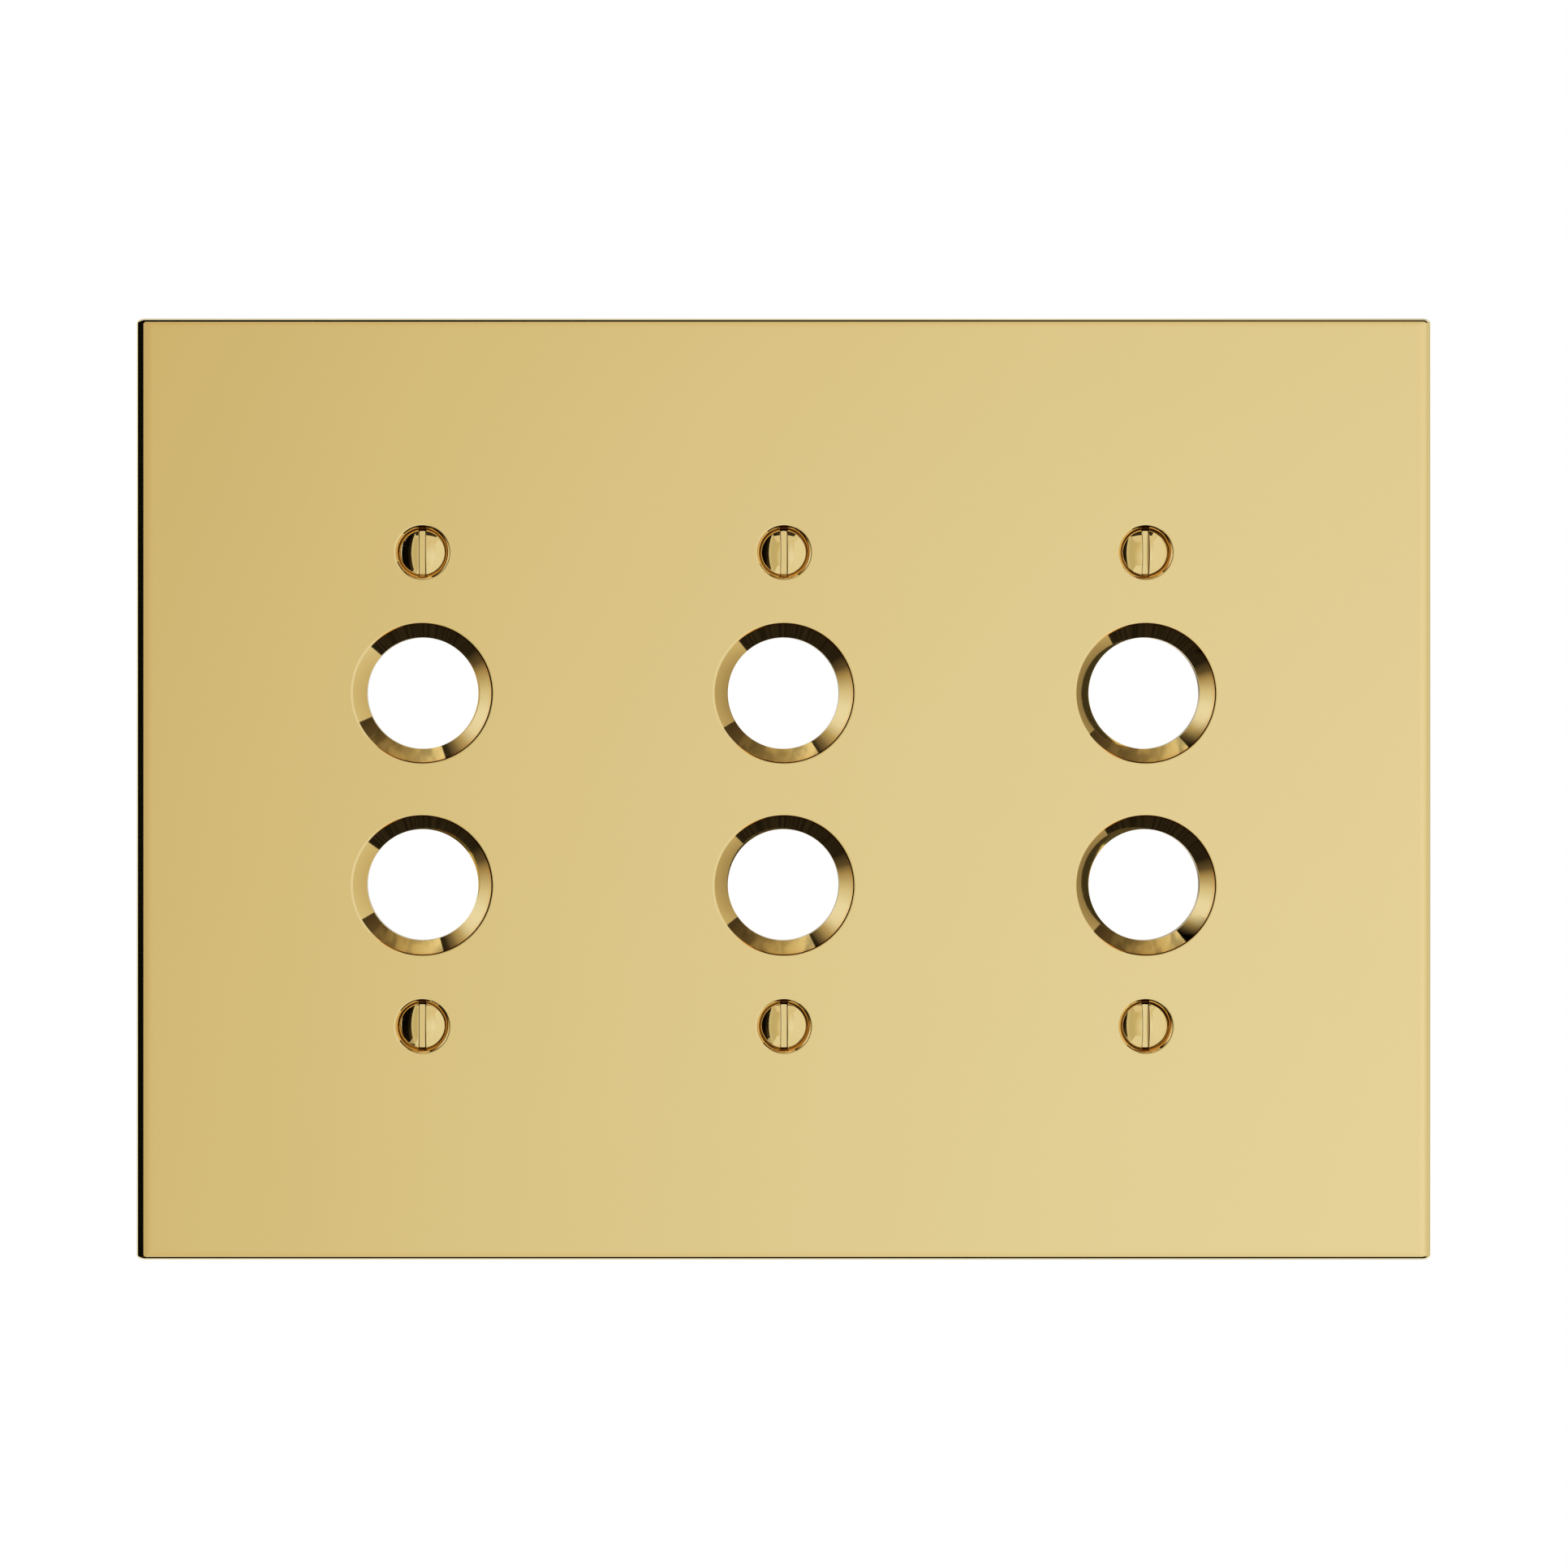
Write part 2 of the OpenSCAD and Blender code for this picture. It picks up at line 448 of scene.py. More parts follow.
# ----------------------------------------------------------------- the screws
def clip(corners, axis, limit, sign, cut=None):
    """Keeps the part of a polygon where sign * (coordinate - limit) >= 0.

    Corners in that plane and the new points on it are added to cut.
    """
    kept = []
    count = len(corners)
    for i in range(count):
        (p, n), (q, m) = corners[i], corners[(i + 1) % count]
        dp, dq = sign * (p[axis] - limit), sign * (q[axis] - limit)
        if dp >= 0:
            kept.append((p, n))
            if dp == 0 and cut is not None:
                cut.append((p, n))
        if (dp > 0 and dq < 0) or (dp < 0 and dq > 0):
            # Always from the same end, so that neighbours get the same point.
            if p <= q:
                a, b, t = (p, n), (q, m), dp / (dp - dq)
            else:
                a, b, t = (q, m), (p, n), dq / (dq - dp)
            point = [a[0][k] + (b[0][k] - a[0][k]) * t for k in range(3)]
            point[axis] = limit
            normal = [a[1][k] + (b[1][k] - a[1][k]) * t for k in range(3)]
            kept.append((tuple(point), tuple(normal)))
            if cut is not None:
                cut.append((tuple(point), tuple(normal)))
    return kept


def build_thread(shell, cx, cz, major_r, start_y, end_y, count):
    """Right-hand thread between the neck at start_y and the tip at end_y (larger y)."""
    crest, flank = THREAD_PITCH / 8, THREAD_PITCH * 0.3
    # Phases within a pitch where the profile turns, with their radius.
    turns = [
        (0.0, major_r),
        (crest, major_r),
        (crest + flank, ROOT_R),
        (THREAD_PITCH - flank, ROOT_R),
    ]
    tip_r = major_r - TIP_CHAMFER

    def spot(i, row):
        # One turn on, each row meets the row one pitch deeper.
        laps, i = divmod(i, count)
        turn, k = divmod(row - laps * len(turns), len(turns))
        phase, r = turns[k]
        # Right-hand seen from the head: going deeper as the angle advances clockwise.
        y = start_y - THREAD_PITCH + turn * THREAD_PITCH + phase - i / count * THREAD_PITCH
        y = min(max(y, start_y), end_y)
        w = min(1.0, (y - start_y) / THREAD_FADE)
        w = w * w * (3 - 2 * w)
        r = NECK_R + (r - NECK_R) * w
        r = min(r, tip_r + (end_y - y))
        a = TAU * i / count
        return (cx + r * math.cos(a), y, cz + r * math.sin(a))

    rows = int((end_y - start_y + 3 * THREAD_PITCH) / THREAD_PITCH) * len(turns)
    for row in range(rows):
        for i in range(count):
            spots = [spot(i, row), spot(i + 1, row), spot(i + 1, row + 1), spot(i, row + 1)]
            a, b, c, d = (Vector(p) for p in spots)
            mid = (a + b + c + d) / 4
            out = Vector((mid.x - cx, 0, mid.z - cz))
            n0 = (Vector(spot(i - 1, row)) - b).cross(d - a)
            n1 = (a - Vector(spot(i + 2, row))).cross(c - b)
            if n0.dot(out) < 0:
                n0 = -n0
            if n1.dot(out) < 0:
                n1 = -n1
            if n0.length < 1e-12 or n1.length < 1e-12:
                n0 = n1 = out
            shell.face(list(zip(spots, (n0, n1, n1, n0))))


def slot_angle(point, cz, floor_y):
    """Orders the points of a slot's edge from its upper end, over the dome, to its lower end."""
    if point[1] > floor_y - 1e-9:
        return 0 if point[2] > cz else math.pi
    return math.atan2(floor_y - point[1], point[2] - cz)


def build_screw(node, material):
    shell = Shell()
    lo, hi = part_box(node)
    cx, cz = (lo.x + hi.x) / 2, (lo.z + hi.z) / 2
    head_r = (hi.x - lo.x) / 2
    crown_y, tip_y = lo.y, hi.y
    dome_r = (head_r**2 + DOME_RISE**2) / (2 * DOME_RISE)
    centre_y = crown_y + dome_r
    floor_y = crown_y + SLOT_DEPTH
    count = 144

    # The rim: a small fillet between the dome and the cone.
    rim = []
    steps = 8
    # Centre on the circle that touches the dome from inside.
    reach = dome_r - HEAD_EDGE_R
    fillet_r = head_r - HEAD_EDGE_R * HEAD_EDGE_INSET
    fillet_y = centre_y - math.sqrt(reach**2 - fillet_r**2)
    dome_end = math.asin(fillet_r / reach)
    for i in range(steps + 1):
        tilt = dome_end + (math.pi - CONE_TILT - dome_end) * i / steps
        rim.append(
            (
                fillet_r + HEAD_EDGE_R * math.sin(tilt),
                fillet_y - HEAD_EDGE_R * math.cos(tilt),
                math.sin(tilt),
                -math.cos(tilt),
            )
        )
    dome = []
    steps = 40
    for i in range(steps + 1):
        tilt = dome_end * i / steps
        dome.append(
            (dome_r * math.sin(tilt), centre_y - dome_r * math.cos(tilt), math.sin(tilt), -math.cos(tilt))
        )
    dome[-1] = rim[0]

    cone_n = (math.sin(CONE_TILT), math.cos(CONE_TILT))
    r_top, y_top = rim[-1][:2]

    def cone_at(y):
        return (r_top - (y - y_top) / math.tan(CONE_TILT), y, *cone_n)

    def cone_at_radius(r):
        return y_top + (r_top - r) * math.tan(CONE_TILT)

    floor_row = cone_at(floor_y)
    neck_y = y_top + (r_top - NECK_R) * math.tan(CONE_TILT)
    below_row = cone_at(floor_y + 0.1 * MM)
    upper = [dome, rim, [rim[-1], cone_at((y_top + floor_y) / 2), floor_row]]
    half_slot = SLOT_W / 2

    cuts = {-1: [], 1: []}
    for run in upper:
        rings = [turned(cx, cz, *row, count) for row in run]
        for a, b in zip(rings, rings[1:]):
            for i in range(count):
                j = (i + 1) % count
                quad = [a[i], a[j], b[j], b[i]]
                for side in (-1, 1):
                    # The head's cone under the rim gets dark painted shade.
                    shell.shade_paint = DARK_SHADE if run is upper[-1] else 0.0
                    part = clip(quad, 0, cx + side * SLOT_MOUTH, side, cuts[side])
                    if len(part) >= 3:
                        shell.face(part)

    # Orange painted reflection on the head's cone just below the slot's floor.
    shell.shade_paint = HEAD_TINT
    # The cone just below the slot's floor shares the cut points of the ring above.
    top_ring, low_ring = turned(cx, cz, *floor_row, count), turned(cx, cz, *below_row, count)
    floor_loop = []
    for i in range(count):
        j = (i + 1) % count
        edge = [top_ring[i], top_ring[j]]
        marks = [edge[0]]
        for side in (-1, 1):
            found = []
            clip([edge[0], edge[1]], 0, cx + side * SLOT_MOUTH, side, found)
            for mark in found:
                if all((Vector(mark[0]) - Vector(m[0])).length > 1e-7 for m in marks + [edge[1]]):
                    marks.append(mark)
        marks[1:] = sorted(marks[1:], key=lambda m: (Vector(m[0]) - Vector(edge[0][0])).length)
        shell.face(marks + [edge[1], low_ring[j], low_ring[i]])
        floor_loop.extend(m[0] for m in marks)

    shell.shade_paint = 0.0
    # The edge of each side of the slot is eased from the dome down to the wall.
    wall_ends = {}
    for side in (-1, 1):
        rim_line = {}
        for p, n in cuts[side]:
            rim_line.setdefault(tuple(round(c / Shell.CELL) for c in p), (p, n))
        line = sorted(rim_line.values(), key=lambda m: slot_angle(m[0], cz, floor_y))
        wall = []
        for p, n in line:
            room = min(floor_y, cone_at_radius(math.hypot(p[0] - cx, p[2] - cz))) - p[1]
            drop = min(SLOT_EASE, max(0.0, room) / 2)
            wall.append(((cx + side * half_slot, p[1] + drop, p[2]), (-side, 0, 0)))
        lip = []
        for (p, n), (q, _) in zip(line, wall):
            halfway = Vector(n) * 0.75 + Vector((-side * 0.66, 0, 0))
            point = (p[0] + (q[0] - p[0]) * 0.55, p[1] + (q[1] - p[1]) * 0.3, p[2])
            lip.append((point, halfway))
        for a in range(len(line) - 1):
            shell.face([line[a], line[a + 1], lip[a + 1], lip[a]])
        # Painted shade on the slot's eased edges and walls.
        shell.shade_paint = SLOT_LIP_TINT
        for a in range(len(line) - 1):
            shell.face([lip[a], lip[a + 1], wall[a + 1], wall[a]])
        shell.shade_paint = SLOT_WALL_TINT
        shell.face(wall)
        shell.shade_paint = 0.0
        wall_ends[side] = [(lip[k][0], wall[k][0]) for k in (0, -1)]

    def floor_end(side):
        """Points of the floor's edge at the slot's upper end (side 1) or lower end (-1)."""
        found = [p for p in floor_loop if side * (p[2] - cz) > 0 and abs(p[0] - cx) <= SLOT_MOUTH + 1e-9]
        return sorted(found, key=lambda p: -side * p[0])

    far_end, near_end = floor_end(1), floor_end(-1)
    left_far, left_near = wall_ends[-1]
    right_far, right_near = wall_ends[1]
    bottom = [*far_end, *left_far, *reversed(left_near), *near_end, *right_near, *reversed(right_far)]
    shell.face([(p, (0, -1, 0)) for p in bottom])

    thread_y = BACK_Y + NECK_GAP
    shell.finish = SHANK_FINISH
    cone = [below_row, (NECK_R, neck_y, *cone_n)]
    neck = [(NECK_R, neck_y, 1, 0), (NECK_R, thread_y, 1, 0)]
    lathe(shell, cx, cz, [cone, neck], count)
    build_thread(shell, cx, cz, THREAD_R, thread_y, tip_y, count)
    tip_ring = turned(cx, cz, THREAD_R - TIP_CHAMFER, tip_y, 0, 1, count)
    shell.face([(p, (0, 1, 0)) for p, _ in tip_ring])
    return shell.make(node.replace("screw", "oval_screw"), material)


# ------------------------------------------------------------------ materials
def node_tree(material):
    material.use_nodes = True
    tree = material.node_tree
    tree.nodes.clear()
    return tree, tree.nodes, tree.links


def polished_brass(name, colour, roughness, grain, hairline):
    """Polished brass: faint cloudiness in the polish, fine hairlines and a slight waviness."""
    material = bpy.data.materials.new(name)
    tree, nodes, links = node_tree(material)
    out = nodes.new("ShaderNodeOutputMaterial")
    shader = nodes.new("ShaderNodeBsdfPrincipled")
    shader.inputs["Metallic"].default_value = 1.0
    links.new(shader.outputs[0], out.inputs[0])
    place = nodes.new("ShaderNodeTexCoord")

    cloud = nodes.new("ShaderNodeTexNoise")
    cloud.inputs["Scale"].default_value = 55
    cloud.inputs["Detail"].default_value = 5
    links.new(place.outputs["Object"], cloud.inputs["Vector"])

    lines = nodes.new("ShaderNodeTexNoise")
    lines.inputs["Scale"].default_value = 1
    lines.inputs["Detail"].default_value = 3
    stretch = nodes.new("ShaderNodeMapping")
    stretch.inputs["Scale"].default_value = (60, 2200, 2600)
    stretch.inputs["Rotation"].default_value = (0, 0.35, 0)
    links.new(place.outputs["Object"], stretch.inputs["Vector"])
    links.new(stretch.outputs[0], lines.inputs["Vector"])

    # Roughness: base, plus clouds, plus hairlines.
    cloud_share = nodes.new("ShaderNodeMapRange")
    cloud_share.inputs["From Min"].default_value = 0.35
    cloud_share.inputs["From Max"].default_value = 0.7
    cloud_share.inputs["To Min"].default_value = roughness * 0.75
    cloud_share.inputs["To Max"].default_value = roughness * 1.35
    links.new(cloud.outputs[0], cloud_share.inputs["Value"])
    line_share = nodes.new("ShaderNodeMapRange")
    line_share.inputs["From Min"].default_value = 0.55
    line_share.inputs["From Max"].default_value = 0.75
    line_share.inputs["To Min"].default_value = 0
    line_share.inputs["To Max"].default_value = hairline
    links.new(lines.outputs[0], line_share.inputs["Value"])
    total = nodes.new("ShaderNodeMath")
    total.operation = "ADD"
    links.new(cloud_share.outputs[0], total.inputs[0])
    links.new(line_share.outputs[0], total.inputs[1])

    raw = nodes.new("ShaderNodeAttribute")
    raw.attribute_name = "machined"
    duller = nodes.new("ShaderNodeMix")
    duller.inputs["B"].default_value = 0.32
    links.new(raw.outputs["Fac"], duller.inputs["Factor"])
    links.new(total.outputs[0], duller.inputs["A"])
    links.new(duller.outputs["Result"], shader.inputs["Roughness"])

    # Colour: the alloy is a shade deeper where the clouds are dense.
    tint = nodes.new("ShaderNodeMix")
    tint.data_type = "RGBA"
    tint.inputs["A"].default_value = (*[c * 1.006 for c in colour], 1)
    tint.inputs["B"].default_value = (*[c * 0.99 for c in colour], 1)
    links.new(cloud.outputs[0], tint.inputs["Factor"])
    brushed = nodes.new("ShaderNodeMix")
    brushed.data_type = "RGBA"
    brushed.inputs["A"].default_value = (0.62, 0.44, 0.19, 1)
    brushed.inputs["B"].default_value = (0.88, 0.66, 0.33, 1)
    links.new(lines.outputs[0], brushed.inputs["Factor"])
    darker = nodes.new("ShaderNodeMix")
    darker.data_type = "RGBA"
    links.new(brushed.outputs["Result"], darker.inputs["B"])
    links.new(raw.outputs["Fac"], darker.inputs["Factor"])
    links.new(tint.outputs["Result"], darker.inputs["A"])
    # Painted shade from a face attribute: orange painted reflection up to 1, then dark painted shade up to
    # 2
    shade_amount = nodes.new("ShaderNodeAttribute")
    shade_amount.attribute_name = "painted_shade"
    orange = nodes.new("ShaderNodeMix")
    orange.data_type = "RGBA"
    orange.inputs["B"].default_value = (0.95, 0.44, 0.07, 1)
    links.new(shade_amount.outputs["Fac"], orange.inputs["Factor"])
    links.new(darker.outputs["Result"], orange.inputs["A"])
    past = nodes.new("ShaderNodeMath")
    past.operation = "SUBTRACT"
    past.inputs[1].default_value = 1
    past.use_clamp = True
    links.new(shade_amount.outputs["Fac"], past.inputs[0])
    dark_shade_mix = nodes.new("ShaderNodeMix")
    dark_shade_mix.data_type = "RGBA"
    dark_shade_mix.inputs["B"].default_value = (0.04, 0.013, 0.004, 1)
    links.new(past.outputs[0], dark_shade_mix.inputs["Factor"])
    links.new(orange.outputs["Result"], dark_shade_mix.inputs["A"])
    links.new(dark_shade_mix.outputs["Result"], shader.inputs["Base Color"])

    bump = nodes.new("ShaderNodeBump")
    coarser = nodes.new("ShaderNodeMath")
    coarser.operation = "MULTIPLY_ADD"
    coarser.inputs[1].default_value = 0.9
    coarser.inputs[2].default_value = grain
    links.new(raw.outputs["Fac"], coarser.inputs[0])
    links.new(coarser.outputs[0], bump.inputs["Strength"])
    bump.inputs["Distance"].default_value = 0.00001
    links.new(lines.outputs[0], bump.inputs["Height"])
    links.new(bump.outputs[0], shader.inputs["Normal"])
    return material


def ramp(nodes, stops, interpolation="LINEAR"):
    """Colour ramp from [(position, (r, g, b)), ...] over 0..1."""
    node = nodes.new("ShaderNodeValToRGB")
    node.color_ramp.interpolation = interpolation
    elements = node.color_ramp.elements
    while len(elements) > 1:
        elements.remove(elements[-1])
    elements[0].position = stops[0][0]
    elements[0].color = (*stops[0][1], 1)
    for position, colour in stops[1:]:
        element = elements.new(position)
        element.color = (*colour, 1)
    return node


def multiplied(tree, a, b):
    """Product of two colours."""
    node = tree.nodes.new("ShaderNodeMix")
    node.data_type = "RGBA"
    node.blend_type = "MULTIPLY"
    node.inputs["Factor"].default_value = 1
    tree.links.new(a, node.inputs["A"])
    tree.links.new(b, node.inputs["B"])
    return node.outputs["Result"]


def glow(name, bands, second=1.0, noise=None, fade=None):
    """Emission that is the product of bands: each is (axis, [(millimetres, colour), ...]).

    second scales it for light that has met the brass exactly twice. fade is
    (from, to) in millimetres along Y, between which the card turns solid.
    """
    material = bpy.data.materials.new(name)
    tree, nodes, links = node_tree(material)
    out = nodes.new("ShaderNodeOutputMaterial")
    emit = nodes.new("ShaderNodeEmission")
    links.new(emit.outputs[0], out.inputs[0])
    place = nodes.new("ShaderNodeTexCoord")
    split = nodes.new("ShaderNodeSeparateXYZ")
    links.new(place.outputs["Object"], split.inputs[0])
    product = None
    for axis, stops in bands:
        low, high = stops[0][0], stops[-1][0]
        spread = nodes.new("ShaderNodeMapRange")
        spread.inputs["From Min"].default_value = low * MM
        spread.inputs["From Max"].default_value = high * MM
        links.new(split.outputs["XYZ".index(axis)], spread.inputs["Value"])
        scaled = [((mm - low) / (high - low), colour) for mm, colour in stops]
        colours = ramp(nodes, scaled, "EASE" if len(stops) == 2 else "LINEAR")
        links.new(spread.outputs[0], colours.inputs[0])
        if product is None:
            product = colours.outputs[0]
        else:
            product = multiplied(tree, product, colours.outputs[0])
    if noise is not None:
        scale, low, high = noise
        texture = nodes.new("ShaderNodeTexNoise")
        texture.inputs["Scale"].default_value = 1
        texture.inputs["Detail"].default_value = 2
        stretch = nodes.new("ShaderNodeMapping")
        stretch.inputs["Scale"].default_value = scale
        links.new(place.outputs["Object"], stretch.inputs["Vector"])
        links.new(stretch.outputs[0], texture.inputs["Vector"])
        level = nodes.new("ShaderNodeMapRange")
        level.inputs["From Min"].default_value = 0.4
        level.inputs["From Max"].default_value = 0.6
        level.inputs["To Min"].default_value = low
        level.inputs["To Max"].default_value = high
        links.new(texture.outputs[0], level.inputs["Value"])
        product = multiplied(tree, product, level.outputs[0])
    links.new(product, emit.inputs["Color"])
    if second != 1.0:
        path = nodes.new("ShaderNodeLightPath")
        twice = nodes.new("ShaderNodeMath")
        twice.operation = "COMPARE"
        twice.inputs[1].default_value = 2
        twice.inputs[2].default_value = 0.5
        links.new(path.outputs["Glossy Depth"], twice.inputs[0])
        level = nodes.new("ShaderNodeMapRange")
        level.inputs["To Min"].default_value = 1
        level.inputs["To Max"].default_value = second
        links.new(twice.outputs[0], level.inputs["Value"])
        links.new(level.outputs[0], emit.inputs["Strength"])
    if fade is not None:
        solid = nodes.new("ShaderNodeMapRange")
        solid.inputs["From Min"].default_value = fade[0] * MM
        solid.inputs["From Max"].default_value = fade[1] * MM
        links.new(split.outputs["Y"], solid.inputs["Value"])
        clear = nodes.new("ShaderNodeBsdfTransparent")
        blend = nodes.new("ShaderNodeMixShader")
        links.new(solid.outputs[0], blend.inputs[0])
        links.new(clear.outputs[0], blend.inputs[1])
        links.new(emit.outputs[0], blend.inputs[2])
        links.new(blend.outputs[0], out.inputs[0])
    return material


def card(name, corners, material):
    """Flat studio card from four corners in millimetres. The camera doesn't see it, and it casts no shadow.
    """
    mesh = bpy.data.meshes.new(name)
    mesh.from_pydata([tuple(c * MM for c in corner) for corner in corners], [], [(0, 1, 2, 3)])
    mesh.materials.append(material)
    obj = bpy.data.objects.new(name, mesh)
    bpy.context.scene.collection.objects.link(obj)
    obj.visible_camera = False
    obj.visible_shadow = False
    return obj


# --------------------------------------------------------------------- pieces
PLATE_COLOUR = (0.917, 0.775, 0.421)
SCREW_COLOUR = (0.91, 0.765, 0.405)

plate_brass = polished_brass("plate_brass", PLATE_COLOUR, 0.045, 0.05, 0.02)
screw_brass = polished_brass("screw_brass", SCREW_COLOUR, 0.05, 0.06, 0.03)

plate = build_plate(plate_brass)
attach(plate, "plate")
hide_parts("plate")

for node in SCREWS:
    screw = build_screw(node, screw_brass)
    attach(screw, node)
    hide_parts(node)

# ---------------------------------------------------------------------- stage
DIM = (0.021, 0.0155, 0.010)
WHITE = (1.0, 1.0, 1.0)

# Planes of the studio, in millimetres about the plate's middle
FAR_LEFT, LEFT, RIGHT = -450, -215, 430
FRONT = -750
LOW, TOP = -450, 434

FRONT_BANDS = [
    (
        "X",
        [
            (-250, (0.60, 0.50, 0.30)),
            (-170, (0.709, 0.632, 0.445)),
            (-64, (0.763, 0.711, 0.5575)),
            (31, (0.803, 0.761, 0.645)),
            (117, (0.828, 0.805, 0.7075)),
            (232, (0.853, 0.832, 0.7625)),
            (300, (0.90, 0.88, 0.84)),
            (430, (0.84, 0.80, 0.70)),
        ],
    ),
    (
        "Z",
        [
            (-450, (0.96, 0.93, 0.87)),
            (-245, (0.98, 0.95, 0.89)),
            (-175, (1.0, 1.0, 1.0)),
            (-110, (0.998, 0.993, 0.991)),
            (0, (0.988, 0.970, 0.961)),
            (108, (0.958, 0.930, 0.876)),
            (150, (0.945, 0.905, 0.83)),
            (230, (0.91, 0.85, 0.74)),
            (434, (0.88, 0.80, 0.66)),
        ],
    ),
]
# Light that has met the brass twice leaves the lips towards the right end of
# the front card; there the card is dark for it.
SPLIT = 120
LOW_SPLIT = -120  # below it the front card is dimmed in the same way, but less
front_glow = glow("front_glow", FRONT_BANDS)
front_end_glow = glow("front_end_glow", FRONT_BANDS, second=0.06)
card(
    "front_card",
    [(LEFT, FRONT, LOW_SPLIT), (SPLIT, FRONT, LOW_SPLIT), (SPLIT, FRONT, TOP), (LEFT, FRONT, TOP)],
    front_glow,
)
front_low_glow = glow("front_low_glow", FRONT_BANDS, second=0.12)
card(
    "front_low_card",
    [(LEFT, FRONT, LOW), (SPLIT, FRONT, LOW), (SPLIT, FRONT, LOW_SPLIT), (LEFT, FRONT, LOW_SPLIT)],
    front_low_glow,
)
card(
    "front_end_card",
    [(SPLIT, FRONT, LOW), (RIGHT, FRONT, LOW), (RIGHT, FRONT, TOP), (SPLIT, FRONT, TOP)],
    front_end_glow,
)

left_glow = glow(
    "left_glow",
    [
        (
            "Z",
            [
                (-300, DIM),
                (-190, (0.12, 0.085, 0.045)),
                (-120, (0.42, 0.31, 0.16)),
                (0, (0.72, 0.65, 0.48)),
                (120, (0.87, 0.85, 0.79)),
                (200, (0.89, 0.87, 0.83)),
                (300, (0.84, 0.79, 0.70)),
                (450, (0.50, 0.395, 0.22)),
                (620, (0.20, 0.148, 0.085)),
                (800, (0.045, 0.032, 0.018)),
                (1000, (0.012, 0.009, 0.005)),
            ],
        ),
    ],
)
card(
    "left_card",
    [(FAR_LEFT, 30, LOW), (FAR_LEFT, -300, LOW), (FAR_LEFT, -300, 1000), (FAR_LEFT, 30, 1000)],
    left_glow,
)

black = glow("black_cloth", [("Z", [(-500, (0.003, 0.003, 0.002)), (500, (0.003, 0.003, 0.002))])])
FLAG_DEPTH_TONES = [
    (-290, (0.11, 0.075, 0.036)),
    (-225, (0.07, 0.045, 0.02)),
    (-200, (0.012, 0.009, 0.005)),
    (-110, (0.01, 0.007, 0.004)),
]
FLAG_HEIGHT_TONES = [
    (-330, (0.9, 0.9, 0.9)),
    (-190, (0.7, 0.7, 0.7)),
    (-40, (0.2, 0.2, 0.2)),
    (434, (0.1, 0.1, 0.1)),
]
FLAG_BANDS = [
    ("Y", FLAG_DEPTH_TONES),
    ("Z", FLAG_HEIGHT_TONES),
]
flag_glow = glow("flag", FLAG_BANDS)
card("left_flag", [(LEFT, -110, -250), (LEFT, -290, -250), (LEFT, -290, 140), (LEFT, -110, 140)], flag_glow)
soft_flag_glow = glow("soft_flag", FLAG_BANDS, fade=(-95, -140))
card(
    "left_upper_flag",
    [(LEFT, -95, 140), (LEFT, -290, 140), (LEFT, -290, TOP), (LEFT, -95, TOP)],
    soft_flag_glow,
)
GAP_TONES = [
    (-750, (0.62, 0.53, 0.33)),
    (-420, (0.58, 0.50, 0.32)),
    (-310, (0.66, 0.58, 0.40)),
    (-290, (0.80, 0.74, 0.55)),
]
gap_glow = glow("left_gap", [("Y", GAP_TONES)])
card(
    "left_gap_card",
    [(LEFT, -290, LOW), (LEFT, FRONT, LOW), (LEFT, FRONT, TOP), (LEFT, -290, TOP)],
    gap_glow,
)

top_glow = glow(
    "top_glow",
    [
        (
            "X",
            [
                (-221, (0.72, 0.62, 0.42)),
                (-116, (0.61, 0.505, 0.31)),
                (0, (0.48, 0.37, 0.19)),
                (110, (0.37, 0.27, 0.13)),
                (250, (0.21, 0.15, 0.07)),
                (434, (0.10, 0.067, 0.033)),
                (750, (0.055, 0.036, 0.021)),
            ],
        ),
    ],
    noise=((9, 24, 9), 0.68, 1.25),
)
card("top_card", [(-221, -35, TOP), (-221, -230, TOP), (900, -230, TOP), (900, -35, TOP)], top_glow)
FAR_TONES = [(-750, (0.74, 0.64, 0.47)), (-380, (0.78, 0.70, 0.54)), (-230, (0.78, 0.70, 0.54))]
far_glow = glow("far_glow", [("Y", FAR_TONES)])
card("top_far_card", [(-221, -380, TOP), (-221, FRONT, TOP), (900, FRONT, TOP), (900, -380, TOP)], far_glow)
card("top_right_card", [(270, -230, TOP), (270, -380, TOP), (900, -380, TOP), (900, -230, TOP)], far_glow)
BAND = (0.02, 0.014, 0.008)
band_glow = glow("band_glow", [("Y", [(-500, BAND), (0, BAND)])], noise=((40, 40, 40), 0.2, 3.0))
card("top_band_card", [(-221, -230, TOP), (-221, -380, TOP), (270, -380, TOP), (270, -230, TOP)], band_glow)

right_glow = glow(
    "right_glow",
    [
        (
            "Y",
            [
                (-750, (0.84, 0.80, 0.70)),
                (-250, (0.83, 0.78, 0.66)),
                (-150, (0.74, 0.66, 0.48)),
                (-89, (0.61, 0.50, 0.30)),
                (-46, (0.41, 0.32, 0.18)),
                (-14, (0.28, 0.21, 0.12)),
                (50, (0.20, 0.15, 0.08)),
            ],
        ),
    ],
)
card(
    "right_card",
    [(RIGHT, 50, LOW), (RIGHT, FRONT, LOW), (RIGHT, FRONT, TOP), (RIGHT, 50, TOP)],
    right_glow,
)
shade_glow = glow("shade", [("Z", [(195, (0.055, 0.036, 0.018)), (434, (0.10, 0.067, 0.033))])])
card("right_shade", [(425, 50, 245), (425, -230, 245), (425, -230, TOP), (425, 50, TOP)], shade_glow)

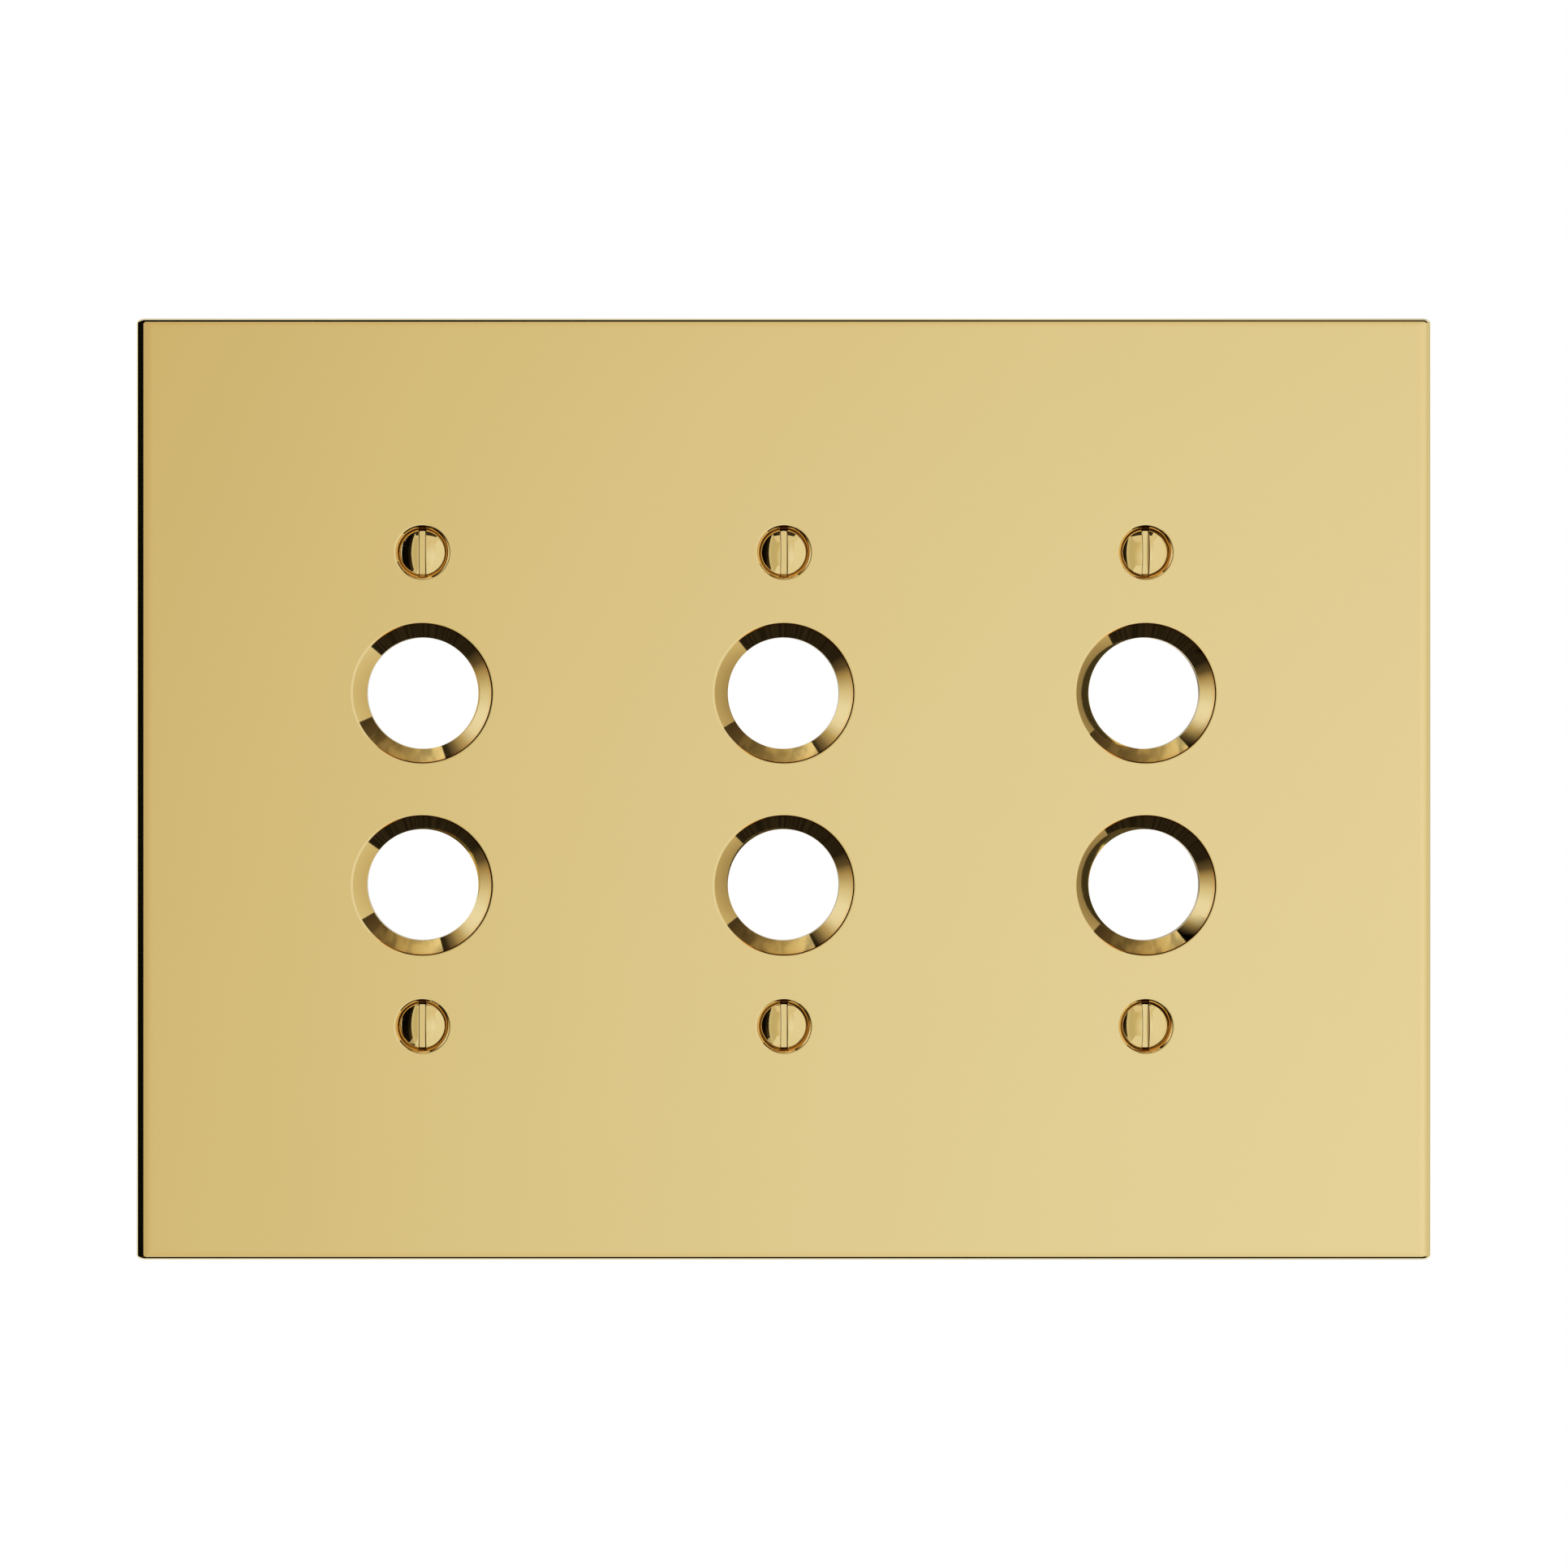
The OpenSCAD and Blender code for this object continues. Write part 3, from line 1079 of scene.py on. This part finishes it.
LOW_TONES = [
    (-750, (0.83, 0.78, 0.66)),
    (-270, (0.81, 0.76, 0.63)),
    (-235, (0.50, 0.40, 0.22)),
    (-200, DIM),
    (-150, DIM),
]
low_glow = glow("low_glow", [("Y", LOW_TONES)])
card("low_card", [(LEFT, -150, LOW), (RIGHT, -150, LOW), (RIGHT, FRONT, LOW), (LEFT, FRONT, LOW)], low_glow)
streaks = glow("streaks", [("Y", [(-150, DIM), (100, DIM)])], noise=((60, 4, 4), 0.6, 1.4))
card("low_left_card", [(-500, -150, LOW), (LEFT, -150, LOW), (LEFT, -300, LOW), (-500, -300, LOW)], streaks)
card("low_near_card", [(-500, 100, LOW), (500, 100, LOW), (500, -150, LOW), (-500, -150, LOW)], streaks)

# Narrow strips close round the plate, which only its rounded edges see.
card("edge_left", [(-82.9, -2.2, -61), (-82.9, -4.6, -61), (-82.9, -4.6, 61), (-82.9, -2.2, 61)], black)
card("edge_top", [(-83.5, -2.5, 60.4), (82.5, -2.5, 60.4), (82.5, -3.1, 60.4), (-83.5, -3.8, 60.4)], black)
card(
    "edge_bottom",
    [(-82.5, -2.5, -60.4), (82.5, -2.5, -60.4), (82.5, -3.1, -60.4), (-82.5, -3.2, -60.4)],
    black,
)
PALE_TONES = [
    (-3.2, (0.82, 0.78, 0.68)),
    (-2.65, (0.78, 0.72, 0.58)),
    (-2.5, (0.50, 0.52, 0.40)),
    (-2.2, (0.40, 0.43, 0.33)),
]
pale = glow("pale", [("Y", PALE_TONES)])
card("edge_right", [(82.9, -2.2, -60), (82.9, -3.2, -60), (82.9, -3.2, 60), (82.9, -2.2, 60)], pale)

floor_material = bpy.data.materials.new("pale_floor")
tree, nodes, links = node_tree(floor_material)
floor_out = nodes.new("ShaderNodeOutputMaterial")
floor_shader = nodes.new("ShaderNodeBsdfPrincipled")
floor_shader.inputs["Base Color"].default_value = (0.88, 0.88, 0.87, 1)
floor_shader.inputs["Roughness"].default_value = 0.6
links.new(floor_shader.outputs[0], floor_out.inputs[0])
bpy.ops.mesh.primitive_circle_add(vertices=128, radius=0.8, fill_type="NGON", location=(0, 0, -0.30))
floor = bpy.context.object
floor.name = "floor"
floor.data.materials.append(floor_material)
floor.visible_glossy = False

world = bpy.data.worlds.new("studio")
bpy.context.scene.world = world
world.use_nodes = True
tree = world.node_tree
tree.nodes.clear()
nodes, links = tree.nodes, tree.links
world_out = nodes.new("ShaderNodeOutputWorld")
sky = nodes.new("ShaderNodeBackground")
links.new(sky.outputs[0], world_out.inputs[0])
path = nodes.new("ShaderNodeLightPath")
place = nodes.new("ShaderNodeTexCoord")
split = nodes.new("ShaderNodeSeparateXYZ")
links.new(place.outputs["Generated"], split.inputs[0])
spread = nodes.new("ShaderNodeMapRange")
spread.inputs["From Min"].default_value = -1
spread.inputs["From Max"].default_value = 1
links.new(split.outputs[1], spread.inputs["Value"])
AROUND_TONES = [(0, (0.5, 0.44, 0.33)), (0.5, (0.45, 0.38, 0.26)), (0.56, (0.9, 0.9, 0.86)), (1, WHITE)]
around = ramp(nodes, AROUND_TONES)
links.new(spread.outputs[0], around.inputs[0])
# The room behind the plate is uneven, so that its back looks like metal.
room = nodes.new("ShaderNodeTexNoise")
room.inputs["Scale"].default_value = 3.2
room.inputs["Detail"].default_value = 1
links.new(place.outputs["Generated"], room.inputs["Vector"])
room_tone = ramp(nodes, [(0.38, (0.20, 0.18, 0.15)), (0.5, (0.62, 0.60, 0.56)), (0.62, WHITE)])
links.new(room.outputs[0], room_tone.inputs[0])
straight_back = ramp(nodes, [(0.84, (0, 0, 0)), (0.93, WHITE)])
links.new(spread.outputs[0], straight_back.inputs[0])
surround = nodes.new("ShaderNodeMix")
surround.data_type = "RGBA"
links.new(straight_back.outputs[0], surround.inputs["Factor"])
links.new(around.outputs[0], surround.inputs["A"])
links.new(room_tone.outputs[0], surround.inputs["B"])
pick = nodes.new("ShaderNodeMix")
pick.data_type = "RGBA"
pick.inputs["B"].default_value = (*WHITE, 1)
links.new(path.outputs["Is Camera Ray"], pick.inputs["Factor"])
links.new(surround.outputs["Result"], pick.inputs["A"])
links.new(pick.outputs["Result"], sky.inputs["Color"])

# --------------------------------------------------------------------- camera
FRAME_WIDTH = 199.5 * MM  # what the frame spans at the plate's face
DISTANCE = 495 * MM
LEFT_OF_MIDDLE = 20.2 * MM
ABOVE_MIDDLE = 9.65 * MM
AIM_Z = 0.67 * MM

camera_data = bpy.data.cameras.new("camera")
camera_data.sensor_width = 36
camera_data.lens = 36 * DISTANCE / FRAME_WIDTH
camera_data.shift_x = LEFT_OF_MIDDLE / FRAME_WIDTH
camera_data.shift_y = (AIM_Z - ABOVE_MIDDLE) / FRAME_WIDTH
camera_data.clip_start = 0.01
camera_data.clip_end = 20
camera = bpy.data.objects.new("camera", camera_data)
camera.location = (-LEFT_OF_MIDDLE, FACE_Y - DISTANCE, ABOVE_MIDDLE)
camera.rotation_euler = (math.pi / 2, 0, 0)
bpy.context.scene.collection.objects.link(camera)
bpy.context.scene.camera = camera
bpy.context.scene.view_settings.view_transform = "Standard"
